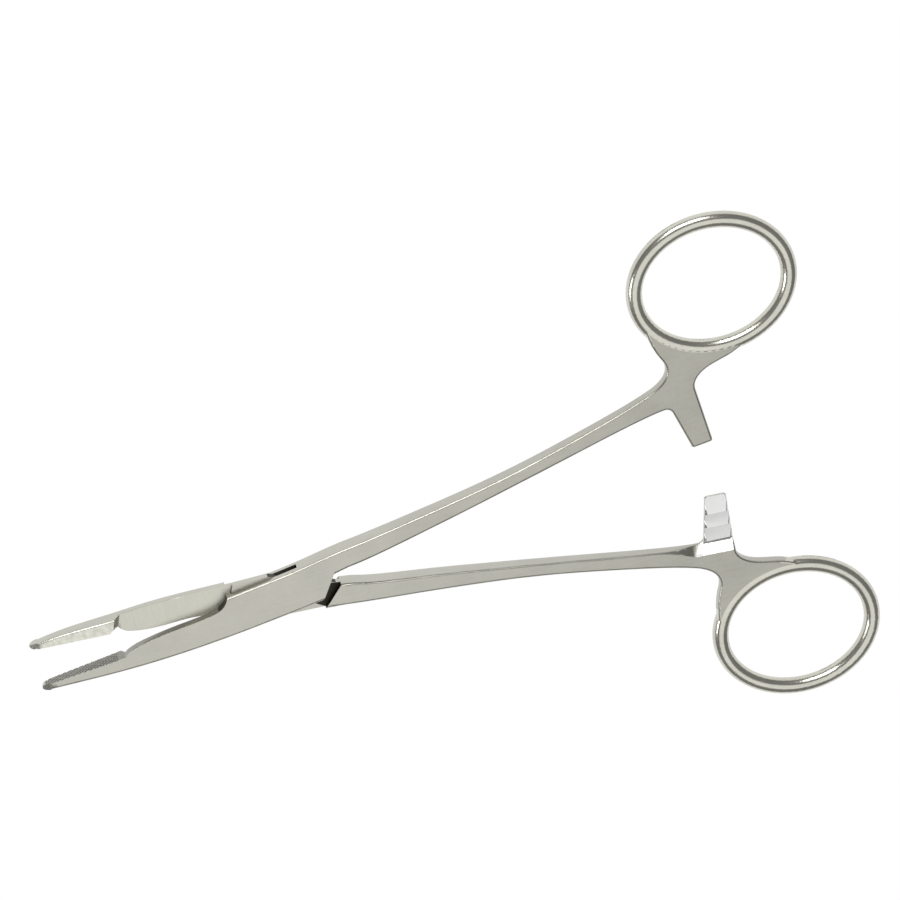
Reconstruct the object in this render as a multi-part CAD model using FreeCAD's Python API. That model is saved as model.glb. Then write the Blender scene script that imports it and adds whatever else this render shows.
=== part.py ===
import FreeCAD, Part
import math
import os

# Surgical needle holder, all lengths in millimetres and all angles in degrees.
# Each half is drawn closed: the pivot axis is at the origin, the jaw points
# along -X below the X axis, and the shank and ring lie above it. The tongue
# half is then turned over about the X axis, and both halves are opened.

# Main sizes
BOX_THICKNESS = 5.0
JAW_TIP_X = -47.55
OPEN_HALF_ANGLE = 4.47

RING_HALF_THICKNESS = 1.55
WEB_HALF_THICKNESS = 1.42
EDGE_RADIUS = 0.5

# Half thickness of the jaws, tip to box
JAW_THICKNESS = [(-49.5, 1.2), (-40.0, 1.74), (-31.5, 2.17), (-22.0, 2.42), (-12.0, 2.5)]
NOSE_ROUND = [(-47.7, 0.25), (-46.9, 0.85), (-45.2, 1.42)]

# Jaws
HEEL_X = -31.5
GRIP_LEVEL = 0.66
GRIP_TIP_GAP = 0.08
GRIP_HEEL_GAP = 0.34
SERRATION_PITCH = 0.8
SERRATION_DEPTH = 0.14
SERRATION_ANGLE = 45.0
SERRATION_TIP_MARGIN = 0.9

# Cutting blades behind the grips, each half as thick as its jaw
BLADE_PLAY = 0.03
BLADE_EDGE = [
    (-10.95, 1.75),
    (-12.4, 1.32),
    (-14.2, 1.12),
    (-18.0, 1.05),
    (-22.0, 1.0),
    (-25.5, 0.8),
    (-28.4, 0.45),
]
TONGUE_BLADE_LEVEL = 1.62
RAMP_FOOT = [(-29.8, -2.81), (-30.6, -0.2)]
RAMP_RUN = 0.5

# Box lock
SLOT_HEIGHT = 1.9
TONGUE_PLAY = 0.03
SLOT_END_GAP = 0.12
PIN_RADIUS = 1.6
PIN_PLAY = 0.04

# Box lock outline: wall end, wall corner and nest, tongue, shoulder
WALL_LOW = (7.6, -3.62)
WALL_HIGH = (10.9, 0.52)
WALL_CORNER = (-9.3, 3.47)
SLOT_REAR = [(4.3, 4.2), (11.5, 0.3)]
BACK_NEST = [(-9.1, 4.5), (-9.85, 1.6), (-10.2, -0.4), (-11.4, -2.6), (-13.5, -4.6)]
NEST_GAP = 0.12
TURN_RADIUS = 9.0
TURN_GAP = 0.15
TONGUE_FRONT = (-1.5, -4.0)
TONGUE_ROOT = (10.9, -0.1)
TONGUE_REAR = (-4.0, 4.15)
TONGUE_SEAM = (-13.2, TONGUE_BLADE_LEVEL)
SHOULDER = [(8.33, 3.83), (11.24, 0.56)]
BOX_ROOT = [(14.0, 0.85), (14.0, 4.55)]
TONGUE_HALF_ROOT = [(14.0, 0.2), (14.0, 4.38)]

# Ring, an ellipse that starts at the web: its back and its low side stay there
RING_BACK_X = 80.72
RING_LOW_Y = 15.88
RING_LONG_RADIUS = 14.76
RING_SHORT_RADIUS = 12.17
RING_CENTRE = (RING_BACK_X + RING_LONG_RADIUS, RING_LOW_Y + RING_SHORT_RADIUS)
RING_LEAN = -3.3
RING_BAND_HALF_WIDTH = 1.55

# Shank: place, lower edge, upper edge and half thickness
SHANK_ROOT_X = 14.0
SHANK_STATIONS = [
    (20.0, 1.15, 4.75, 2.4),
    (28.0, 1.95, 5.2, 2.25),
    (37.0, 2.95, 5.8, 2.1),
    (46.0, 4.05, 6.6, 1.95),
    (55.0, 5.2, 7.75, 1.83),
    (64.0, 6.4, 9.2, 1.7),
    (72.0, 7.4, 10.65, 1.58),
]
WEB_FRONT_X = 78.4
WEB_FRONT_LOW = 7.95
WEB_FRONT_HIGH = 12.2
WEB_TOP = (80.95, 21.5)

# Ratchet arm
ARM_REAR_X = 86.25
ARM_FRONT_ROOT_X = 80.6
ARM_ROOT_RADIUS = 1.3
ARM_FRONT_END_X = 82.2
ARM_END_Y = -1.0
ARM_CORNER = 0.45
TOOTH_COUNT = 3
TOOTH_PITCH = 2.58
NOSE_RAMP = 3.35
TOOTH_CREST = 0.35
TOOTH_ROOT = -0.45
TOOTH_FALL = 0.1
TOOTH_BEVEL = 0.5
TOOTH_NOSE = -0.5
LAND_RUN = 2.5

MIDDLE = BOX_THICKNESS / 2
SLACK = 20.0


def vec(point, height=0.0):
    return FreeCAD.Vector(point[0], point[1], height)


def line(start, end):
    return Part.makeLine(vec(start), vec(end))


def arc(start, middle, end):
    return Part.Arc(vec(start), vec(middle), vec(end)).toShape()


def curve(points):
    spline = Part.BSplineCurve()
    spline.interpolate([vec(p) for p in points])
    return spline.toShape()


def polygon(points):
    closed = [vec(p) for p in points]
    return Part.makePolygon(closed + closed[:1])


def prism(wire, low, high):
    """Solid between two heights over a closed flat wire."""
    face = Part.Face(wire)
    face.translate(FreeCAD.Vector(0, 0, low))
    return face.extrude(FreeCAD.Vector(0, 0, high - low))


def mirrored_pair(cutter):
    """The cutter with its mirror image below the middle plane."""
    other = cutter.mirror(FreeCAD.Vector(0, 0, 0), FreeCAD.Vector(0, 0, 1))
    return [cutter, other]


def on_ring(turn, outwards=0.0):
    """Point of the ring's centre line at a given turn, shifted outwards."""
    along = (RING_LONG_RADIUS + outwards) * math.cos(math.radians(turn))
    across = (RING_SHORT_RADIUS + outwards) * math.sin(math.radians(turn))
    lean = math.radians(RING_LEAN)
    x = RING_CENTRE[0] + along * math.cos(lean) - across * math.sin(lean)
    y = RING_CENTRE[1] + along * math.sin(lean) + across * math.cos(lean)
    return (x, y)


def rim_edges(solid, places):
    """Edges of the top and bottom faces that pass over the given places."""
    found = []
    for edge in solid.Edges:
        box = edge.BoundBox
        upright = box.XLength + box.YLength < 0.01
        for place in places:
            plumb = Part.makeLine(vec(place, -SLACK), vec(place, SLACK))
            if not upright and edge.distToShape(plumb)[0] < 0.02:
                found.append(edge)
                break
    return found


def upright_edges(solid, places):
    """Upright edges of a prism that stand at the given places."""
    found = []
    for edge in solid.Edges:
        box = edge.BoundBox
        upright = box.XLength + box.YLength < 0.01
        for place in places:
            if upright and math.hypot(box.XMin - place[0], box.YMin - place[1]) < 0.05:
                found.append(edge)
    return found


def middle_of(edge):
    """Plan point half way along an edge."""
    point = edge.valueAt((edge.FirstParameter + edge.LastParameter) / 2)
    return (point.x, point.y)


def along(start, end, share):
    """Plan point on the line from start to end, or beyond it."""
    return (
        start[0] + (end[0] - start[0]) * share,
        start[1] + (end[1] - start[1]) * share,
    )


# Shank, lofted through rounded sections from the box to the web
def rounded_section(x, low, high, half_thickness):
    """Closed wire across the shank at one place along it."""
    r = EDGE_RADIUS
    k = r * (1 - math.sqrt(0.5))
    t = half_thickness

    def at(y, z):
        return FreeCAD.Vector(x, y, z)

    return Part.Wire([
        Part.makeLine(at(low + r, t), at(high - r, t)),
        Part.Arc(at(high - r, t), at(high - k, t - k), at(high, t - r)).toShape(),
        Part.makeLine(at(high, t - r), at(high, r - t)),
        Part.Arc(at(high, r - t), at(high - k, k - t), at(high - r, -t)).toShape(),
        Part.makeLine(at(high - r, -t), at(low + r, -t)),
        Part.Arc(at(low + r, -t), at(low + k, k - t), at(low, r - t)).toShape(),
        Part.makeLine(at(low, r - t), at(low, t - r)),
        Part.Arc(at(low, t - r), at(low + k, t - k), at(low + r, t)).toShape(),
    ])


def end_wire(solid, x):
    """Outline of the flat end face that a solid has at one place along X."""
    ends = []
    for face in solid.Faces:
        box = face.BoundBox
        if box.XLength < 0.01 and abs(box.XMin - x) < 0.01:
            ends.append(face)
    return max(ends, key=lambda face: face.Area).OuterWire


def shank(root, tail):
    """Shank from the block's end outline to the web's end outline."""
    middle = [rounded_section(*row) for row in SHANK_STATIONS]
    return Part.makeLoft([root] + middle + [tail], True, False)


# Ring, its web and the ratchet arm
def ring():
    """Closed bow of elliptical section round the finger opening, in two swept halves."""
    bow = []
    for start in (0, 180):
        path = Part.Ellipse(FreeCAD.Vector(0, 0, 0), RING_LONG_RADIUS, RING_SHORT_RADIUS)
        spine = path.toShape(math.radians(start), math.radians(start + 180))
        section = Part.Ellipse(FreeCAD.Vector(0, 0, 0), RING_BAND_HALF_WIDTH, RING_HALF_THICKNESS).toShape()
        section.rotate(FreeCAD.Vector(0, 0, 0), FreeCAD.Vector(1, 0, 0), 90)
        section.translate(FreeCAD.Vector(RING_LONG_RADIUS, 0, 0))
        section.rotate(FreeCAD.Vector(0, 0, 0), FreeCAD.Vector(0, 0, 1), start)
        swept = Part.Wire([spine]).makePipeShell([Part.Wire([section])], True, True)
        swept.rotate(FreeCAD.Vector(0, 0, 0), FreeCAD.Vector(0, 0, 1), RING_LEAN)
        swept.translate(FreeCAD.Vector(RING_CENTRE[0], RING_CENTRE[1], 0))
        bow.append(swept)
    return bow


def web_and_arm():
    """Flat web between shank and ring, with the ratchet arm standing out."""
    shank_low = (WEB_FRONT_X, WEB_FRONT_LOW)
    shank_high = (WEB_FRONT_X, WEB_FRONT_HIGH)
    arm_root = (ARM_FRONT_ROOT_X, WEB_FRONT_LOW)
    toe_front = (ARM_FRONT_END_X, ARM_END_Y)
    toe_rear = (ARM_REAR_X, ARM_END_Y)
    arm_top = (ARM_REAR_X, 9.6)
    ring_back = on_ring(-165)
    edges = [
        line(shank_high, shank_low),
        line(shank_low, arm_root),
        line(arm_root, toe_front),
        line(toe_front, toe_rear),
        line(toe_rear, arm_top),
        curve([arm_top, (86.6, 11.1), (88.0, 12.4), (92.0, 13.6), (97.0, 14.9), on_ring(-75)]),
        curve([on_ring(-75), on_ring(-95), on_ring(-120), on_ring(-145), ring_back]),
        curve([ring_back, WEB_TOP, (81.75, 18.2), (82.35, 16.1), (81.9, 14.45), (80.6, 13.2), shank_high]),
    ]
    plate = prism(Part.Wire(edges), -WEB_HALF_THICKNESS, WEB_HALF_THICKNESS)
    plate = plate.makeFillet(ARM_ROOT_RADIUS, upright_edges(plate, [arm_root]))
    plate = plate.makeFillet(ARM_CORNER, upright_edges(plate, [toe_front, toe_rear]))
    rounded = [edges[1], edges[2], edges[3], edges[4], edges[5], edges[7]]
    return plate.makeFillet(EDGE_RADIUS, rim_edges(plate, [middle_of(e) for e in rounded]))


# Jaw and box blocks, from the nose to the shank's root
def jaw_profile():
    """Side view of the jaw and box, thin at the nose, as a wide slab."""
    points = [FreeCAD.Vector(x, -SLACK, z) for x, z in JAW_THICKNESS]
    rise = JAW_THICKNESS[1][1] - JAW_THICKNESS[0][1]
    run = JAW_THICKNESS[1][0] - JAW_THICKNESS[0][0]
    spline = Part.BSplineCurve()
    spline.interpolate(
        Points=points,
        InitialTangent=FreeCAD.Vector(1, 0, rise / run),
        FinalTangent=FreeCAD.Vector(1, 0, 0),
    )
    top = spline.toShape()
    low = top.mirror(FreeCAD.Vector(0, 0, 0), FreeCAD.Vector(0, 0, 1))
    front, front_low = (FreeCAD.Vector(points[0].x, -SLACK, k * points[0].z) for k in (1, -1))
    box, box_low = (FreeCAD.Vector(points[-1].x, -SLACK, k * MIDDLE) for k in (1, -1))
    rear, rear_low = (FreeCAD.Vector(SHANK_ROOT_X, -SLACK, k * MIDDLE) for k in (1, -1))
    edges = [
        top,
        Part.makeLine(box, rear),
        Part.makeLine(rear, rear_low),
        Part.makeLine(rear_low, box_low),
        low,
        Part.makeLine(front_low, front),
    ]
    return Part.Face(Part.Wire(Part.__sortEdges__(edges))).extrude(FreeCAD.Vector(0, 2 * SLACK, 0))


def nose_slab():
    """Side view with rounded noses, as a wide slab."""
    front = [FreeCAD.Vector(x, -SLACK, z) for x, z in NOSE_ROUND]
    low = [FreeCAD.Vector(v.x, v.y, -v.z) for v in front]
    far = [FreeCAD.Vector(2 * SLACK, -SLACK, k * SLACK / 2) for k in (1, -1)]
    edges = [
        Part.Arc(front[0], front[1], front[2]).toShape(),
        Part.makeLine(front[2], far[0]),
        Part.makeLine(far[0], far[1]),
        Part.makeLine(far[1], low[2]),
        Part.Arc(low[2], low[1], low[0]).toShape(),
        Part.makeLine(low[0], front[0]),
    ]
    return Part.Face(Part.Wire(edges)).extrude(FreeCAD.Vector(0, 2 * SLACK, 0))


def block(edges, rounded):
    """Jaw and box over an outline, with the rims of the named edges rounded."""
    tall = prism(Part.Wire(edges), -MIDDLE - 1, MIDDLE + 1)
    body = tall.common(jaw_profile()).Solids[0]
    body = body.makeFillet(EDGE_RADIUS, rim_edges(body, [middle_of(e) for e in rounded]))
    return body.common(nose_slab()).Solids[0]


def box_block():
    """Jaw and walls of the box half."""
    grip = -GRIP_LEVEL - GRIP_TIP_GAP / 2
    heel = (HEEL_X + 0.5, grip)
    grip_tip = (JAW_TIP_X + 0.9, grip)
    nose_low = (JAW_TIP_X + 1.5, grip - 1.25)
    blade_front = (-30.3, -0.1)
    outer = curve([nose_low, (-40.6, -2.5), (-34.8, -3.05), (-22.0, -3.86), (-8.0, -4.02), WALL_LOW])
    inner = line(WALL_HIGH, BOX_ROOT[0])
    upper = curve([BOX_ROOT[1], (9.5, 4.25), (5.0, 3.9), (-1.0, 3.68), WALL_CORNER])
    blade = curve([WALL_CORNER, (-9.95, 2.5)] + BLADE_EDGE + [blade_front])
    edges = [
        line(heel, grip_tip),
        arc(grip_tip, (JAW_TIP_X, grip - 0.65), nose_low),
        outer,
        line(WALL_LOW, WALL_HIGH),
        inner,
        line(BOX_ROOT[0], BOX_ROOT[1]),
        upper,
        blade,
        line(blade_front, heel),
    ]
    return block(edges, [outer, inner, upper])


def tongue_block():
    """Jaw and tongue of the tongue half, before the tongue is thinned."""
    grip_tip_level = GRIP_LEVEL - GRIP_TIP_GAP / 2
    heel = (HEEL_X - 0.8, GRIP_LEVEL - GRIP_HEEL_GAP)
    grip_tip = (JAW_TIP_X + 0.75, grip_tip_level)
    nose_low = (JAW_TIP_X + 1.6, grip_tip_level - 1.12)
    blade_front = (-30.6, 0.1)
    outer = curve([nose_low, (-40.0, -1.5), (-32.0, -2.2), (-24.0, -2.98), (-14.0, -3.45), TONGUE_FRONT])
    inner = line(TONGUE_ROOT, TONGUE_HALF_ROOT[0])
    upper = curve([TONGUE_HALF_ROOT[1], (9.0, 4.15), (4.0, 4.15), TONGUE_REAR])
    blade = curve([TONGUE_SEAM, (-22.0, 1.6), (-27.8, 1.45), (-29.6, 0.95), blade_front])
    edges = [
        line(heel, grip_tip),
        arc(grip_tip, (JAW_TIP_X, grip_tip_level - 0.55), nose_low),
        outer,
        line(TONGUE_FRONT, TONGUE_ROOT),
        inner,
        line(TONGUE_HALF_ROOT[0], TONGUE_HALF_ROOT[1]),
        upper,
        line(TONGUE_REAR, TONGUE_SEAM),
        blade,
        arc(blade_front, (-31.3, -0.3), heel),
    ]
    return block(edges, [outer, inner, upper])


# Cutters
def outside_turn(radius):
    """Everything in front of a round boundary about the pivot axis."""
    front = Part.makeBox(3 * SLACK, 2 * SLACK, 2 * SLACK, FreeCAD.Vector(-3 * SLACK - 2, -SLACK, -SLACK))
    return front.cut(Part.makeCylinder(radius, 2 * SLACK, FreeCAD.Vector(0, 0, -SLACK)))


def blade_ramp(level):
    """Layer under the blade, from the ramp behind the grip rearwards."""
    slant = (RAMP_FOOT[1][0] - RAMP_FOOT[0][0]) / (RAMP_FOOT[1][1] - RAMP_FOOT[0][1])
    start = RAMP_FOOT[0][0] - slant * (SLACK + RAMP_FOOT[0][1])
    depth = SLACK / 2
    corners = [
        FreeCAD.Vector(start, -SLACK, level),
        FreeCAD.Vector(start - RAMP_RUN * depth, -SLACK, level - depth),
        FreeCAD.Vector(2 * SLACK, -SLACK, level - depth),
        FreeCAD.Vector(2 * SLACK, -SLACK, level),
    ]
    face = Part.Face(Part.makePolygon(corners + corners[:1]))
    return face.extrude(FreeCAD.Vector(slant * 2 * SLACK, 2 * SLACK, 0))


def box_blade_gap():
    """Layer taken off the box half's jaw for the other blade."""
    nest = curve(BACK_NEST)
    top, low = BACK_NEST[0], BACK_NEST[-1]
    far_top = (-2 * SLACK, top[1])
    far_low = (-2 * SLACK, low[1])
    edges = [nest, line(low, far_low), line(far_low, far_top), line(far_top, top)]
    front = prism(Part.Wire(edges), -SLACK, SLACK)
    return blade_ramp(0.0).common(front)


def tongue_blade_gap():
    """Layer taken off the tongue half's jaw for the other blade."""
    return blade_ramp(BLADE_PLAY).common(outside_turn(TURN_RADIUS))


def slot():
    """Slot through the box for the tongue, drawn in the closed position."""
    span = math.hypot(TONGUE_REAR[0] - TONGUE_SEAM[0], TONGUE_REAR[1] - TONGUE_SEAM[1])
    shift_x = -SLOT_END_GAP * (TONGUE_REAR[1] - TONGUE_SEAM[1]) / span
    shift_y = -SLOT_END_GAP * (TONGUE_REAR[0] - TONGUE_SEAM[0]) / span
    front_start = (TONGUE_SEAM[0] + shift_x, -TONGUE_SEAM[1] + shift_y)
    front_end = (TONGUE_REAR[0] + shift_x, -TONGUE_REAR[1] + shift_y)
    corners = [
        along(front_start, front_end, -0.5),
        along(front_start, front_end, 1.5),
        (0.0, -SLACK),
        (SLACK, -SLACK),
        along(SLOT_REAR[0], SLOT_REAR[1], 2.0),
        along(SLOT_REAR[0], SLOT_REAR[1], -0.5),
        (-17.8, SLACK / 2),
    ]
    lower = prism(polygon(corners), -SLOT_HEIGHT / 2, 0.0)
    upper = prism(polygon(corners), 0.0, SLOT_HEIGHT / 2)
    return [lower, upper.cut(outside_turn(TURN_RADIUS + TURN_GAP))]


def tongue_thinning():
    """Space taken off both faces of the tongue, front nest to rear shoulder."""
    nest_points = [(x - NEST_GAP, -y) for x, y in BACK_NEST]
    top, low = nest_points[0], nest_points[-1]
    low_corner = (top[0], -SLACK / 2)
    shoulder_low = along(SHOULDER[0], SHOULDER[1], 3.0)
    shoulder_high = along(SHOULDER[0], SHOULDER[1], -1.0)
    back = (low[0], shoulder_high[1])
    edges = [
        curve(nest_points),
        line(low, back),
        line(back, shoulder_high),
        line(shoulder_high, shoulder_low),
        line(shoulder_low, low_corner),
        line(low_corner, top),
    ]
    return mirrored_pair(prism(Part.Wire(edges), SLOT_HEIGHT / 2 - TONGUE_PLAY, SLACK / 2))


def grip_grooves(level):
    """Two crossing sets of V grooves over the jaw's gripping face."""
    wide = SERRATION_DEPTH * 1.05
    groove = Part.Face(Part.makePolygon([
        FreeCAD.Vector(-wide - 0.1, level + 0.1, 0),
        FreeCAD.Vector(0, level - SERRATION_DEPTH, 0),
        FreeCAD.Vector(wide + 0.1, level + 0.1, 0),
        FreeCAD.Vector(-wide - 0.1, level + 0.1, 0),
    ]))
    bar = groove.extrude(FreeCAD.Vector(0, 0, 2 * SLACK))
    bar.translate(FreeCAD.Vector(0, 0, -SLACK))
    step = SERRATION_PITCH / math.cos(math.radians(SERRATION_ANGLE))
    middle_x = (JAW_TIP_X + HEEL_X) / 2
    reach = int((HEEL_X - JAW_TIP_X) / step / 2) + 2
    grooves = []
    for lean in (-SERRATION_ANGLE, SERRATION_ANGLE):
        for number in range(-reach, reach + 1):
            copy = bar.copy()
            copy.rotate(FreeCAD.Vector(0, 0, 0), FreeCAD.Vector(0, 1, 0), lean)
            copy.translate(FreeCAD.Vector(middle_x + number * step, 0, 0))
            grooves.append(copy)
    window = Part.makeBox(
        HEEL_X - JAW_TIP_X - 2 * SERRATION_TIP_MARGIN,
        2.0,
        BOX_THICKNESS,
        FreeCAD.Vector(JAW_TIP_X + SERRATION_TIP_MARGIN, level - 1.0, -MIDDLE),
    )
    return grooves[0].fuse(grooves[1:]).common(window)


def ratchet_cutters():
    """Space under the ratchet teeth, and the bevels along their sides."""
    heights = [(-1.0, -SLACK / 4), (0.0, TOOTH_NOSE), (NOSE_RAMP, TOOTH_CREST)]
    for tooth in range(TOOTH_COUNT):
        root = NOSE_RAMP + TOOTH_FALL + tooth * TOOTH_PITCH
        heights.append((root, TOOTH_ROOT))
        if tooth < TOOTH_COUNT - 1:
            heights.append((root - TOOTH_FALL + TOOTH_PITCH, TOOTH_CREST))
    last_root = heights[-1][0]
    heights.append((last_root + LAND_RUN, WEB_HALF_THICKNESS + 0.23))
    heights[0] = (-1.0, TOOTH_NOSE)
    heights.append((last_root + LAND_RUN, SLACK / 4))
    heights.append((-1.0, SLACK / 4))
    corners = [FreeCAD.Vector(ARM_FRONT_ROOT_X - 3, ARM_END_Y + run, -rise) for run, rise in heights]
    gap = Part.Face(Part.makePolygon(corners + corners[:1]))
    cutters = [gap.extrude(FreeCAD.Vector(ARM_REAR_X - ARM_FRONT_ROOT_X + 6, 0, 0))]
    reach = 3.0
    top = -TOOTH_CREST + TOOTH_BEVEL
    length = last_root + 1.0
    bevel = Part.Face(Part.makePolygon([
        FreeCAD.Vector(reach, 0, top + reach),
        FreeCAD.Vector(-reach, 0, top - reach),
        FreeCAD.Vector(reach, 0, top - reach),
        FreeCAD.Vector(reach, 0, top + reach),
    ]))
    rear = bevel.extrude(FreeCAD.Vector(0, length, 0))
    front = rear.mirror(FreeCAD.Vector(0, 0, 0), FreeCAD.Vector(1, 0, 0))
    lean = math.atan2(ARM_FRONT_END_X - ARM_FRONT_ROOT_X, WEB_FRONT_LOW - ARM_END_Y)
    front.rotate(FreeCAD.Vector(0, 0, 0), FreeCAD.Vector(0, 0, 1), math.degrees(lean))
    rear.translate(FreeCAD.Vector(ARM_REAR_X, ARM_END_Y - 1.0, 0))
    front.translate(FreeCAD.Vector(ARM_FRONT_END_X + math.tan(lean), ARM_END_Y - 1.0, 0))
    return cutters + [rear, front]


def half(body):
    """Jaw block joined to its shank, web, arm and ring."""
    handle = web_and_arm().cut(ratchet_cutters())
    root = end_wire(body, SHANK_ROOT_X)
    tail = end_wire(handle, WEB_FRONT_X)
    return body.fuse([shank(root, tail), handle] + ring())


def box_half():
    level = -GRIP_LEVEL - GRIP_TIP_GAP / 2
    cutters = slot() + [box_blade_gap(), round_bar(PIN_RADIUS), grip_grooves(level)]
    body = box_block().cut(cutters)
    return half(body)


def tongue_half():
    level = GRIP_LEVEL - GRIP_TIP_GAP / 2
    cutters = tongue_thinning() + [tongue_blade_gap()]
    cutters.append(round_bar(PIN_RADIUS + PIN_PLAY))
    grooves = grip_grooves(0.0)
    drop = math.degrees(math.atan2(GRIP_HEEL_GAP - GRIP_TIP_GAP / 2, HEEL_X - JAW_TIP_X))
    grooves.translate(FreeCAD.Vector(-JAW_TIP_X, 0, 0))
    grooves.rotate(FreeCAD.Vector(0, 0, 0), FreeCAD.Vector(0, 0, 1), -drop)
    grooves.translate(FreeCAD.Vector(JAW_TIP_X, level, 0))
    body = tongue_block().cut(cutters + [grooves])
    return half(body)


def round_bar(radius):
    """Round bar on the pivot axis, as thick as the box."""
    return Part.makeCylinder(radius, BOX_THICKNESS, FreeCAD.Vector(0, 0, -MIDDLE))


def placed(shape, turn):
    """Opened about the pivot and set with the box on the ground plane."""
    moved = shape.copy()
    moved.rotate(FreeCAD.Vector(0, 0, 0), FreeCAD.Vector(0, 0, 1), turn)
    moved.translate(FreeCAD.Vector(0, 0, MIDDLE))
    return moved


def main():
    os.makedirs("parts", exist_ok=True)
    turned_over = tongue_half()
    turned_over.rotate(FreeCAD.Vector(0, 0, 0), FreeCAD.Vector(1, 0, 0), 180)
    pieces = {
        "box_half": placed(box_half(), OPEN_HALF_ANGLE),
        "tongue_half": placed(turned_over, -OPEN_HALF_ANGLE),
        "pivot_pin": placed(round_bar(PIN_RADIUS), 0.0),
    }
    for name, shape in pieces.items():
        print(name, shape.isValid(), len(shape.Solids), round(shape.Volume, 2), len(shape.Faces))
        shape.exportStep("parts/" + name + ".step")


if __name__ == "__main__":
    main()
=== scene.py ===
"""Surgical needle holder in satin steel, lying half open on a white studio floor."""

import logging
import math
from dataclasses import dataclass, field
from enum import Enum

import bmesh
import bpy
from mathutils import Matrix, Vector

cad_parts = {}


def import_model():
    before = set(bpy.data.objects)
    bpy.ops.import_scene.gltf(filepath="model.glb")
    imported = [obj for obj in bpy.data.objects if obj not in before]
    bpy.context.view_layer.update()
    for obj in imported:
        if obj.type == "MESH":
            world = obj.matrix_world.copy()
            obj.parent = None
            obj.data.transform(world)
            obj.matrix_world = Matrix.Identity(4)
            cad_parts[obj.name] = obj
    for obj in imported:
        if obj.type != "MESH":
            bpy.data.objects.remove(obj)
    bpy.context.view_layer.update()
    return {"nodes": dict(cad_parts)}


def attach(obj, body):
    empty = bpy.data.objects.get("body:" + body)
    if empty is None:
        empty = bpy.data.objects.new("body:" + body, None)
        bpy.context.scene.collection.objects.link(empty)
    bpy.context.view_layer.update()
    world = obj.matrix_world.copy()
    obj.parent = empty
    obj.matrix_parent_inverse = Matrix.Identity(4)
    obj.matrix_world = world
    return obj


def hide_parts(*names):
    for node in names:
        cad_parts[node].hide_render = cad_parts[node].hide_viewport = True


LOG = logging.getLogger("needle_holder")
MM = 0.001
WHITE = (1.0, 1.0, 1.0, 1.0)


class Region(Enum):
    """Surface regions of a half that are coloured in different ways; the wall and the lock's
    recesses carry painted shade, and the teeth and the nose partly painted highlight.
    """

    BODY = "body"
    GRIP = "grip"
    RATCHET = "ratchet"
    BLADE = "blade"
    WALL = "wall"
    NOSE = "nose"
    RECESS = "recess"
    RING = "ring"


@dataclass(frozen=True)
class SteelFinish:
    """Look of one steel surface.

    Attributes:
        name: Material name.
        colour: Linear base colour.
        roughness: Mean roughness of the shader.
        roughness_swing: How far the roughness varies over the surface.
        line_scale: Grinding lines per metre across their direction.
        line_stretch: How much longer than wide the lines are, along X and Y.
        line_depth: Bump distance of the lines, in metres.
        line_tone: Share by which the lines darken and lighten the colour.
        mottle: Share by which patches darken and lighten the colour.
        mottle_scale: Patches per metre.
        hatch_pitch: Distance between crossing dark lines, in metres, or zero for none; the lines
            are painted shade for the serration's grooves.
        painted_groove_shade: Share by which the crossing lines darken the colour, as painted shade.
        painted_shade_fall: How much the colour darkens per metre towards the rings, a painted shade
            for the light falling off along the handles.
    """

    name: str
    colour: tuple[float, float, float]
    roughness: float
    roughness_swing: float = 0.08
    line_scale: float = 2600.0
    line_stretch: tuple[float, float] = (14.0, 1.0)
    line_depth: float = 0.000004
    line_tone: float = 0.10
    mottle: float = 0.10
    mottle_scale: float = 160.0
    hatch_pitch: float = 0.0
    painted_groove_shade: float = 0.35
    painted_shade_fall: float = 2.8


FINISHES = {
    Region.BODY: SteelFinish("satin_steel", (0.53, 0.522, 0.462), roughness=0.30),
    Region.GRIP: SteelFinish(
        "grip_steel_painted_grooves", (0.40, 0.395, 0.355), roughness=0.42, roughness_swing=0.05,
        line_stretch=(3.0, 1.0), mottle=0.15, mottle_scale=900.0,
        hatch_pitch=0.00055, painted_groove_shade=0.6,
    ),
    # Partly painted highlight: the milled tooth faces are coloured near white for the bright
    # reflections on them.
    Region.RATCHET: SteelFinish(
        "milled_steel_painted_highlight", (0.86, 0.86, 0.84), roughness=0.16, roughness_swing=0.04,
        line_scale=5200.0, line_stretch=(1.0, 8.0), line_depth=0.000002, line_tone=0.05,
        painted_shade_fall=0.0,
    ),
    Region.BLADE: SteelFinish(
        "ground_blade_steel", (0.63, 0.625, 0.545), roughness=0.34, roughness_swing=0.10,
        line_scale=3400.0, line_stretch=(1.0, 16.0), line_depth=0.000005, line_tone=0.16,
        mottle=0.08,
    ),
    # Painted shade: the upright inner wall behind the grip is coloured dark for the shade it stands
    # in.
    Region.WALL: SteelFinish(
        "wall_painted_shade_steel", (0.30, 0.295, 0.26), roughness=0.30,
        line_scale=3000.0, line_stretch=(10.0, 1.0), mottle=0.22,
    ),
    # Partly painted highlight: the nose flat is polished steel, coloured lighter for the bright
    # zone on its rounding.
    Region.NOSE: SteelFinish(
        "polished_nose_painted_highlight", (0.68, 0.675, 0.60), roughness=0.24, roughness_swing=0.12,
        line_scale=1500.0, line_stretch=(5.0, 1.0), line_depth=0.000006, line_tone=0.14,
        mottle=0.30, mottle_scale=900.0,
    ),
    # Painted shade: the box lock's recesses are coloured near black for the shade inside them.
    Region.RECESS: SteelFinish(
        "recess_painted_shade", (0.045, 0.042, 0.033), roughness=0.48, roughness_swing=0.05,
        mottle=0.3, mottle_scale=500.0,
    ),
    Region.RING: SteelFinish(
        "polished_ring_steel", (0.66, 0.65, 0.575), roughness=0.20, roughness_swing=0.06,
        mottle=0.12, painted_shade_fall=0.9,
    ),
}


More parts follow.
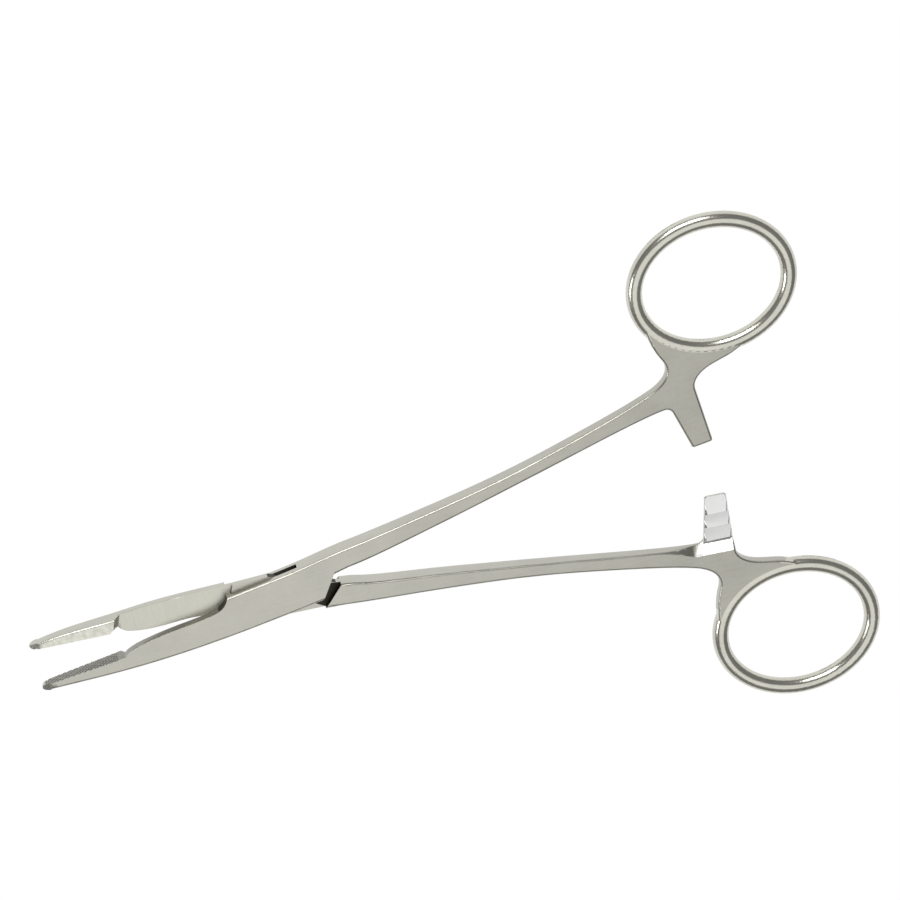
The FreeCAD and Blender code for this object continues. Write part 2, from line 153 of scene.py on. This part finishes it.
class Signal:
    """Output socket of a shader node that takes part in plain arithmetic."""

    def __init__(self, tree: bpy.types.NodeTree, socket: bpy.types.NodeSocket) -> None:
        """Keep the tree and the socket."""
        self.tree = tree
        self.socket = socket

    def _math(self, operation: str, other: "Signal | float | None" = None) -> "Signal":
        """Return the signal of a Math node over this one and another.

        Args:
            operation: Name of the Math node's operation.
            other: Second operand, a signal or a number, where the operation takes one.

        Returns:
            The node's output.
        """
        node = self.tree.nodes.new("ShaderNodeMath")
        node.operation = operation
        self.tree.links.new(self.socket, node.inputs[0])
        if isinstance(other, Signal):
            self.tree.links.new(other.socket, node.inputs[1])
        elif other is not None:
            node.inputs[1].default_value = other
        return Signal(self.tree, node.outputs[0])

    def __add__(self, other: "Signal | float") -> "Signal":
        """Sum of two signals."""
        return self._math("ADD", other)

    def __sub__(self, other: "Signal | float") -> "Signal":
        """Difference of two signals."""
        return self._math("SUBTRACT", other)

    def __mul__(self, other: "Signal | float") -> "Signal":
        """Product of two signals."""
        return self._math("MULTIPLY", other)

    def at_least(self, other: "Signal | float") -> "Signal":
        """Larger of two signals."""
        return self._math("MAXIMUM", other)

    def sine(self) -> "Signal":
        """Sine of the signal, in radians."""
        return self._math("SINE")


class NodeBoard:
    """Places and links the nodes of one material or world."""

    def __init__(self, tree: bpy.types.NodeTree) -> None:
        """Clear the tree and keep it."""
        self.tree = tree
        tree.nodes.clear()

    def add(self, kind: str, **inputs: object) -> bpy.types.Node:
        """Add a node and set or link its inputs.

        Args:
            kind: Node type without the ShaderNode prefix.
            inputs: Values or signals by input name, with underscores for spaces.

        Returns:
            The new node.
        """
        node = self.tree.nodes.new("ShaderNode" + kind)
        for name, value in inputs.items():
            socket = node.inputs[name.replace("_", " ")]
            if isinstance(value, Signal):
                self.tree.links.new(value.socket, socket)
            else:
                socket.default_value = value
        return node

    def out(self, node: bpy.types.Node, name: str | int = 0) -> Signal:
        """Signal of a node's output."""
        return Signal(self.tree, node.outputs[name])


class SteelShop:
    """Makes the procedural steel materials, each once."""

    PATCH_WEIGHT = 3.0
    LINE_WEIGHT = 2.0
    GRAIN_SCALE = 1900.0
    DARKEST = 0.6
    LIGHTEST = 1.4

    def __init__(self) -> None:
        """Start with no material made."""
        self.made: dict[str, bpy.types.Material] = {}

    def material(self, finish: SteelFinish) -> bpy.types.Material:
        """Return the material of a finish.

        Args:
            finish: The surface's look.

        Returns:
            The material, made at the first call.
        """
        if finish.name not in self.made:
            self.made[finish.name] = self._make(finish)
        return self.made[finish.name]

    def _make(self, finish: SteelFinish) -> bpy.types.Material:
        """Build the node tree of one finish.

        Args:
            finish: The surface's look.

        Returns:
            The new material.
        """
        material = bpy.data.materials.new(finish.name)
        material.use_nodes = True
        board = NodeBoard(material.node_tree)
        place = board.out(board.add("TexCoord"), "Object")
        stretch_x, stretch_y = finish.line_stretch
        stretched = board.add("Mapping", Vector=place, Scale=(1 / stretch_x, 1 / stretch_y, 1))
        lines = board.add(
            "TexNoise", Vector=board.out(stretched), Scale=finish.line_scale, Detail=3.0
        )
        patches = board.add("TexNoise", Vector=place, Scale=finish.mottle_scale, Detail=4.0)
        grain = board.add("TexNoise", Vector=place, Scale=self.GRAIN_SCALE, Detail=2.0)
        cloud = board.out(patches) - 0.5
        streak = board.out(lines) - 0.5
        shade = (
            cloud * (finish.mottle * self.PATCH_WEIGHT)
            + (board.out(grain) - 0.5) * finish.mottle
            + streak * (finish.line_tone * self.LINE_WEIGHT)
        )
        spot = board.add("SeparateXYZ", Vector=place)
        # Painted shade: the colour darkens along X towards the rings, where the light falls off.
        shade = shade - board.out(spot, "X").at_least(0.0) * finish.painted_shade_fall
        # Painted shade: crossing dark lines stand in for the shade in the grip's serration grooves.
        if finish.hatch_pitch > 0.0:
            shade = shade - self._painted_groove_lines(board, spot, finish)
        bump = board.add(
            "Bump", Height=board.out(lines), Distance=finish.line_depth, Strength=1.0
        )
        shader = board.add(
            "BsdfPrincipled",
            Base_Color=self._tint(board, shade + 0.5, finish),
            Roughness=(cloud + streak) * finish.roughness_swing + finish.roughness,
            Metallic=1.0,
            Normal=board.out(bump, "Normal"),
        )
        board.add("OutputMaterial", Surface=board.out(shader))
        return material

    def _painted_groove_lines(self, board: NodeBoard, spot: bpy.types.Node, finish: SteelFinish) -> Signal:
        """Two crossing sets of dark lines over the gripping face, painted shade for the serration's
        grooves.

        Args:
            board: Board of the material.
            spot: Node that gives the separate coordinates.
            finish: The surface's look.

        Returns:
            How dark the lines are at each place.
        """
        turns = math.tau / (finish.hatch_pitch * math.sqrt(2.0))
        along, up = board.out(spot, "X") * turns, board.out(spot, "Z") * turns
        lines = (along + up).sine().at_least((along - up).sine())
        return lines.at_least(0.0) * finish.painted_groove_shade

    def _tint(self, board: NodeBoard, shade: Signal, finish: SteelFinish) -> Signal:
        """Colour between the finish's darkest and lightest tone.

        Args:
            board: Board of the material.
            shade: Place between the two tones, from zero to one.
            finish: The surface's look.

        Returns:
            The colour.
        """
        mix = board.add("Mix", Factor=shade)
        mix.data_type = "RGBA"
        dark, light = [socket for socket in mix.inputs if socket.type == "RGBA"]
        dark.default_value = (*(part * self.DARKEST for part in finish.colour), 1.0)
        light.default_value = (*(min(1.0, part * self.LIGHTEST) for part in finish.colour), 1.0)
        return Signal(board.tree, next(s for s in mix.outputs if s.type == "RGBA"))


def select_only(thing: bpy.types.Object) -> None:
    """Make one object the only selected and active one."""
    bpy.ops.object.select_all(action="DESELECT")
    thing.select_set(True)
    bpy.context.view_layer.objects.active = thing


@dataclass(frozen=True)
class Spot:
    """Place and direction of a face, seen from its half in the closed position.

    Attributes:
        x: Place along the half, in millimetres.
        y: Place across it, in millimetres, positive towards the inner side.
        height: Distance from the middle plane, in millimetres.
        forwards: Share of the face's direction along X.
        inwards: Share of the direction towards the inner side.
        rise: Share of the direction along Z.
    """

    x: float
    y: float
    height: float
    forwards: float
    inwards: float
    rise: float

    @property
    def level(self) -> bool:
        """Whether the face lies flat."""
        return abs(self.rise) > 0.9

    @property
    def upright(self) -> bool:
        """Whether the face stands up."""
        return abs(self.rise) < 0.3


@dataclass(frozen=True)
class Zones:
    """Where the regions of a half lie, in millimetres in its closed position.

    Values that end in facing are shares of a face's direction.
    """

    middle: float = 2.5
    grip_front: float = -46.8
    grip_rear: float = -31.0
    grip_depth: float = -1.3
    grip_facing: float = 0.25
    serration_depth: float = -1.1
    tip_reach: float = -44.8
    nose_tip: float = -47.6
    nose_rear: float = -45.9
    nose_overlap: float = 0.9
    nose_facing: float = 0.8
    ramp_top: float = -31.6
    nest_x: float = -10.0
    blade_level: float = 0.1
    wall_facing: float = 0.2
    lock_front: float = -13.5
    lock_rear: float = 11.6
    tongue_level: float = 0.97
    mouth_x: float = 3.5
    mouth_side: float = 2.9
    slot_reach: float = 1.3
    nest_low: float = -3.2
    nest_high: float = 3.6
    nest_facing: float = 0.25
    shoulder_low: float = 1.2
    shoulder_facing: float = 0.35
    arm_front: float = 79.5
    arm_rear: float = 87.0
    arm_end: float = 9.7
    tooth_facing: float = 0.05
    ring_centre: tuple[float, float] = (95.48, 28.05)
    ring_radii: tuple[float, float] = (14.76, 12.17)
    ring_band: float = 0.13
    web_level: float = 1.42
    web_margin: float = 0.05
    web_facing: float = 0.99


@dataclass(frozen=True)
class EdgeBreak:
    """How the sharp edges are rounded, in millimetres, radians and degrees.

    Attributes:
        join_distance: Distance within which loose corners are joined.
        sharp_angle: Least angle of an edge that is rounded, in radians.
        width: Width of the rounding.
        segments: Steps of the rounding.
        bore_reach: Distance from the pivot within which edges stay sharp.
        smooth_angle: Largest angle that is shaded smooth, in degrees.
    """

    join_distance: float = 0.001
    sharp_angle: float = 0.7
    width: float = 0.10
    segments: int = 2
    bore_reach: float = 1.9
    smooth_angle: float = 35.0


@dataclass(frozen=True)
class Nose:
    """Outer side of a jaw's tip, in millimetres from the closing plane.

    Attributes:
        foremost: Outer side at the foremost point.
        outer: Outer side where the rounding starts.
        fall: How much the outer side moves out per millimetre behind the rounding.
    """

    foremost: float
    outer: float
    fall: float


@dataclass
class ForgedHalf:
    """One half of the instrument: jaw, box or tongue, shank, arm and ring.

    Attributes:
        node: Name of the half's solid.
        body: Name of the body that carries it.
        teeth_up: Whether the ratchet teeth face up, as they do on the tongue half.
        turn: Angle by which the half is opened, in degrees.
        nose: Form of the jaw's tip.
        zones: Where the regions lie.
        edges: How the sharp edges are rounded.
    """

    node: str
    body: str
    teeth_up: bool
    turn: float
    nose: Nose
    zones: Zones = field(default_factory=Zones)
    edges: EdgeBreak = field(default_factory=EdgeBreak)

    @property
    def side(self) -> float:
        """Sign of the half's inner side along Y."""
        return 1.0 if self.turn > 0 else -1.0

    def own_frame(self) -> Matrix:
        """Matrix from the row frame to the half's closed position."""
        return Matrix.Rotation(math.radians(-self.turn), 4, "Z")

    def on_grip(self, spot: Spot) -> bool:
        """Whether a face belongs to the serrated gripping face."""
        zones = self.zones
        in_length = zones.grip_front < spot.x < zones.grip_rear
        return in_length and spot.inwards > zones.grip_facing and spot.y > zones.grip_depth

    def on_teeth(self, spot: Spot) -> bool:
        """Whether a face belongs to the ratchet teeth."""
        zones = self.zones
        on_arm = zones.arm_front < spot.x < zones.arm_rear and spot.y < zones.arm_end
        return on_arm and spot.rise * (1.0 if self.teeth_up else -1.0) > zones.tooth_facing

    def on_ring(self, spot: Spot) -> bool:
        """Whether a face belongs to the finger ring, and not to the web's flat face."""
        zones = self.zones
        on_web = abs(spot.rise) > zones.web_facing
        on_web = on_web and abs(spot.height - zones.web_level) < zones.web_margin
        across_x = (spot.x - zones.ring_centre[0]) / zones.ring_radii[0]
        across_y = (spot.y - zones.ring_centre[1]) / zones.ring_radii[1]
        return abs(math.hypot(across_x, across_y) - 1.0) < zones.ring_band and not on_web

    def in_lock(self, spot: Spot) -> bool:
        """Whether a face belongs to the recesses of the box lock, which are painted near black as
        their shade.
        """
        zones = self.zones
        if not zones.lock_front < spot.x < zones.lock_rear:
            return False
        if spot.level and spot.height < zones.tongue_level:
            return spot.x > zones.mouth_x and spot.y < zones.mouth_side
        if not spot.upright:
            return False
        turned = abs(spot.forwards)
        if self.teeth_up:
            return turned > zones.nest_facing and zones.nest_low < spot.y < zones.nest_high
        return turned > zones.shoulder_facing and spot.inwards > 0.0 and spot.y > zones.shoulder_low

    def on_blade(self, spot: Spot) -> bool:
        """Whether a face belongs to the flat cutting blade."""
        behind_grip = self.zones.ramp_top < spot.x < self.zones.nest_x
        return behind_grip and spot.level and spot.height < self.zones.blade_level

    def on_wall(self, spot: Spot) -> bool:
        """Whether a face belongs to the upright inner wall behind the grip, which is painted dark
        as its shade.
        """
        behind_grip = self.zones.ramp_top < spot.x < self.zones.nest_x
        return behind_grip and spot.upright and spot.inwards > self.zones.wall_facing

    def on_nose(self, spot: Spot) -> bool:
        """Whether a face belongs to the polished flat of the upper jaw's nose, whose lighter colour
        is partly a painted highlight.
        """
        in_front = spot.x < self.zones.ramp_top and self.teeth_up
        return in_front and abs(spot.rise) > self.zones.nose_facing

    def region(self, spot: Spot) -> Region:
        """Region of a face by its place and direction.

        Args:
            spot: The face's middle and direction.

        Returns:
            The region it belongs to.
        """
        tests = (
            (Region.GRIP, self.on_grip),
            (Region.RATCHET, self.on_teeth),
            (Region.RING, self.on_ring),
            (Region.RECESS, self.in_lock),
            (Region.BLADE, self.on_blade),
            (Region.WALL, self.on_wall),
            (Region.NOSE, self.on_nose),
        )
        return next((region for region, holds in tests if holds(spot)), Region.BODY)

    def build(self, nodes: dict[str, bpy.types.Object], shop: SteelShop) -> bpy.types.Object:
        """Make the finished half over its solid, and let it ride on its body.

        Args:
            nodes: The solids by name.
            shop: Maker of the materials.

        Returns:
            The finished half.
        """
        piece = self.joined_copy(nodes[self.node])
        self.trim_nose(piece)
        self.break_edges(piece)
        self.keep_within(piece, nodes[self.node])
        self.even_shading(piece)
        self.dress(piece, shop)
        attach(piece, self.body)
        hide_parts(self.node)
        LOG.info("%s finished, %d faces", piece.name, len(piece.data.polygons))
        return piece

    def joined_copy(self, solid: bpy.types.Object) -> bpy.types.Object:
        """Copy the solid with its loose triangles joined.

        Args:
            solid: The CAD node.

        Returns:
            The copy, as an object of the scene.
        """
        piece = bpy.data.objects.new(self.node + "_finished", solid.data.copy())
        bpy.context.scene.collection.objects.link(piece)
        select_only(piece)
        bpy.ops.object.mode_set(mode="EDIT")
        bpy.ops.mesh.select_all(action="SELECT")
        bpy.ops.mesh.customdata_custom_splitnormals_clear()
        bpy.ops.mesh.remove_doubles(threshold=self.edges.join_distance * MM)
        bpy.ops.mesh.normals_make_consistent(inside=False)
        bpy.ops.object.mode_set(mode="OBJECT")
        return piece

    def nose_edge(self, x: float) -> float:
        """Outer side of the nose at a place along it, in the closed position.

        Args:
            x: Place along the half, in millimetres.

        Returns:
            The distance across, in millimetres from the closing plane.
        """
        tip, rear = self.zones.nose_tip, self.zones.nose_rear
        if x >= rear:
            return self.nose.outer - self.nose.fall * (x - rear)
        share = max(0.0, min(1.0, (x - tip) / (rear - tip)))
        bulge = math.sqrt(1.0 - (1.0 - share) ** 2)
        return self.nose.foremost + (self.nose.outer - self.nose.foremost) * bulge

    def trim_nose(self, piece: bpy.types.Object) -> None:
        """Bring the outer side of the tip down to a smooth round nose.

        Args:
            piece: The joined copy.
        """
        back = self.own_frame()
        forth = back.inverted()
        for vertex in piece.data.vertices:
            own = back @ vertex.co
            x, y = own.x / MM, own.y * self.side / MM
            if x < self.zones.nose_rear + self.zones.nose_overlap and y < self.nose_edge(x):
                own.y = self.nose_edge(x) * self.side * MM
                vertex.co = forth @ own

    def stays_crisp(self, own: Vector) -> bool:
        """Tell whether the edges at a place keep their sharp corner.

        Args:
            own: The place in the closed position, in metres.

        Returns:
            Whether it lies on the serration, the bore, the tip or the slot.
        """
        zones = self.zones
        x, y, z = own.x / MM, own.y * self.side / MM, own.z / MM
        serrated = x < zones.grip_rear and y > zones.serration_depth
        bored = math.hypot(x, y) < self.edges.bore_reach
        in_slot = zones.lock_front < x < zones.lock_rear
        in_slot = in_slot and abs(z - zones.middle) < zones.slot_reach
        return serrated or bored or x < zones.tip_reach or in_slot

    def break_edges(self, piece: bpy.types.Object) -> None:
        """Round the sharp outward edges a little, apart from those that stay crisp.

        Args:
            piece: The joined copy.
        """
        back = self.own_frame()
        mesh = bmesh.new()
        mesh.from_mesh(piece.data)
        weights = mesh.edges.layers.float.new("bevel_weight_edge")
        for edge in mesh.edges:
            outward = len(edge.link_faces) == 2 and edge.is_convex
            if outward and edge.calc_face_angle(0.0) > self.edges.sharp_angle:
                middle = (edge.verts[0].co + edge.verts[1].co) / 2
                edge[weights] = 0.0 if self.stays_crisp(back @ middle) else 1.0
        mesh.to_mesh(piece.data)
        mesh.free()
        select_only(piece)
        bevel = piece.modifiers.new("broken_edges", "BEVEL")
        bevel.limit_method = "WEIGHT"
        bevel.width = self.edges.width * MM
        bevel.segments = self.edges.segments
        bevel.use_clamp_overlap = False
        bpy.ops.object.modifier_apply(modifier=bevel.name)

    def keep_within(self, piece: bpy.types.Object, solid: bpy.types.Object) -> None:
        """Hold every vertex of the piece inside the box of its solid.

        Args:
            piece: The half with its edges rounded.
            solid: The CAD node.
        """
        low = [min(corner[axis] for corner in solid.bound_box) for axis in range(3)]
        high = [max(corner[axis] for corner in solid.bound_box) for axis in range(3)]
        for vertex in piece.data.vertices:
            vertex.co = Vector(max(a, min(b, c)) for a, b, c in zip(low, high, vertex.co))

    def even_shading(self, piece: bpy.types.Object) -> None:
        """Shade the flat faces evenly up to their rounded edges.

        Args:
            piece: The half with its edges rounded.
        """
        select_only(piece)
        bpy.ops.object.shade_smooth_by_angle(angle=math.radians(self.edges.smooth_angle))
        even = piece.modifiers.new("even_shading", "WEIGHTED_NORMAL")
        even.keep_sharp = True
        bpy.ops.object.modifier_apply(modifier=even.name)

    def spot(self, centre: Vector, normal: Vector) -> Spot:
        """Describe a face as its half sees it.

        Args:
            centre: Middle of the face in the closed position, in metres.
            normal: Direction of the face in the closed position.

        Returns:
            The place and direction.
        """
        return Spot(
            x=centre.x / MM,
            y=centre.y * self.side / MM,
            height=abs(centre.z / MM - self.zones.middle),
            forwards=normal.x,
            inwards=normal.y * self.side,
            rise=normal.z,
        )

    def dress(self, piece: bpy.types.Object, shop: SteelShop) -> None:
        """Give each face of the half the material of its region.

        Args:
            piece: The finished half.
            shop: Maker of the materials.
        """
        piece.data.materials.clear()
        for finish in FINISHES.values():
            piece.data.materials.append(shop.material(finish))
        order = list(FINISHES)
        back = self.own_frame()
        turned = back.to_3x3()
        for face in piece.data.polygons:
            spot = self.spot(back @ face.center, turned @ face.normal)
            face.material_index = order.index(self.region(spot))


@dataclass
class PivotPin:
    """Pin through the box lock."""

    node: str = "pivot_pin"

    def dress(self, nodes: dict[str, bpy.types.Object], shop: SteelShop) -> None:
        """Give the pin its satin steel.

        Args:
            nodes: The solids by name.
            shop: Maker of the materials.
        """
        solid = nodes[self.node]
        solid.data.materials.clear()
        solid.data.materials.append(shop.material(FINISHES[Region.BODY]))
        LOG.info("%s dressed", self.node)


@dataclass(frozen=True)
class Lamp:
    """One soft area lamp, with its place and size in metres and its power in watts."""

    name: str
    place: tuple[float, float, float]
    size: float
    power: float


@dataclass
class Studio:
    """White floor, world light, lamps and camera.

    Attributes:
        floor_size: Side of the floor, in metres.
        floor_colour: Share of light that the floor throws back.
        floor_glow: Brightness of the floor to the camera and in the steel.
        glow_share: Share of the glow beside the lit paper, which keeps a faint shadow.
        world_light: Strength of the room's light.
        lamps: The area lamps.
        aim: Where the lamps point, in metres.
        tilt: Turns of the camera about X, Y and Z, in radians.
        shift_mm: Place of the pivot in the camera's view.
        distance_mm: Distance of the camera from the pivot.
        pivot_mm: Point that the camera turns about.
        lens_mm: Focal length.
        sensor_mm: Width of the sensor.
    """

    floor_size: float = 6.0
    floor_colour: float = 0.95
    floor_glow: float = 1.03
    glow_share: float = 0.95
    world_light: float = 0.24
    lamps: tuple[Lamp, ...] = (
        Lamp("sky_panel", (0.03, -0.28, 1.25), 1.35, 4.6),
        Lamp("rear_panel", (0.0, 1.15, 0.75), 0.7, 7.0),
        Lamp("left_panel", (-1.2, 0.1, 0.7), 0.5, 3.0),
    )
    aim: tuple[float, float, float] = (0.03, 0.0, 0.0)
    tilt: tuple[float, float, float] = (0.328, 0.1346, 0.2498)
    shift_mm: tuple[float, float] = (-29.2024, -25.9562)
    distance_mm: float = 1000.0
    pivot_mm: tuple[float, float, float] = (3.0, 0.0, 2.5)
    lens_mm: float = 213.6
    sensor_mm: float = 36.0

    def build(self) -> None:
        """Set up the whole studio."""
        bpy.context.scene.view_settings.view_transform = "Standard"
        self.world()
        self.floor()
        for lamp in self.lamps:
            self.light(lamp)
        self.camera()
        LOG.info("studio set up")

    def world(self) -> None:
        """Plain grey room around the floor."""
        world = bpy.data.worlds.new("studio")
        world.use_nodes = True
        bpy.context.scene.world = world
        board = NodeBoard(world.node_tree)
        sky = board.add("Background", Strength=self.world_light, Color=WHITE)
        board.add("OutputWorld", Surface=board.out(sky))

    def floor(self) -> None:
        """Pale floor that is white to the camera and in the steel, except in shadow."""
        bpy.ops.object.select_all(action="DESELECT")
        bpy.ops.mesh.primitive_plane_add(size=self.floor_size, location=(0.0, 0.0, 0.0))
        floor = bpy.context.object
        floor.name = "floor"
        material = bpy.data.materials.new("white_floor")
        material.use_nodes = True
        board = NodeBoard(material.node_tree)
        paper = board.add("BsdfDiffuse", Color=(*[self.floor_colour] * 3, 1.0))
        glow = board.add("Emission", Color=WHITE, Strength=self.floor_glow)
        path = board.add("LightPath")
        seen = board.out(path, "Is Camera Ray") + board.out(path, "Is Glossy Ray")
        share = (seen + board.out(path, "Is Transmission Ray")) * self.glow_share
        mix = board.add("MixShader", Fac=share)
        for socket, shader in zip(mix.inputs[1:], (paper, glow)):
            board.tree.links.new(shader.outputs[0], socket)
        board.add("OutputMaterial", Surface=board.out(mix))
        floor.data.materials.append(material)
        LOG.info("floor laid")

    def light(self, lamp: Lamp) -> None:
        """Hang one lamp and point it at the instrument's middle.

        Args:
            lamp: The lamp's place, size and power.
        """
        data = bpy.data.lights.new(lamp.name, "AREA")
        data.size = lamp.size
        data.energy = lamp.power
        thing = bpy.data.objects.new(lamp.name, data)
        bpy.context.scene.collection.objects.link(thing)
        thing.location = lamp.place
        aim = Vector(self.aim) - Vector(lamp.place)
        thing.rotation_euler = aim.to_track_quat("-Z", "Y").to_euler()

    def camera(self) -> None:
        """Camera at the photograph's angle, distance and framing."""
        turn = (
            Matrix.Rotation(self.tilt[0], 3, "X")
            @ Matrix.Rotation(self.tilt[1], 3, "Y")
            @ Matrix.Rotation(self.tilt[2], 3, "Z")
        )
        eye = turn.transposed() @ Vector((-self.shift_mm[0], -self.shift_mm[1], self.distance_mm))
        place = (eye + Vector(self.pivot_mm)) * MM
        data = bpy.data.cameras.new("camera")
        data.lens = self.lens_mm
        data.sensor_width = self.sensor_mm
        camera = bpy.data.objects.new("camera", data)
        camera.matrix_world = Matrix.Translation(place) @ turn.transposed().to_4x4()
        bpy.context.scene.collection.objects.link(camera)
        bpy.context.scene.camera = camera


def main() -> None:
    """Dress the needle holder and set up its studio."""
    logging.basicConfig(level=logging.INFO, format="%(name)s: %(message)s")
    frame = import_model()
    nodes = frame["nodes"]
    shop = SteelShop()
    ForgedHalf(
        "box_half", "box_body", teeth_up=False, turn=4.47,
        nose=Nose(foremost=-1.35, outer=-1.97, fall=0.1),
    ).build(nodes, shop)
    ForgedHalf(
        "tongue_half", "tongue_body", teeth_up=True, turn=-4.47,
        nose=Nose(foremost=0.1, outer=-0.55, fall=0.2),
    ).build(nodes, shop)
    PivotPin().dress(nodes, shop)
    Studio().build()


if __name__ == "__main__":
    main()
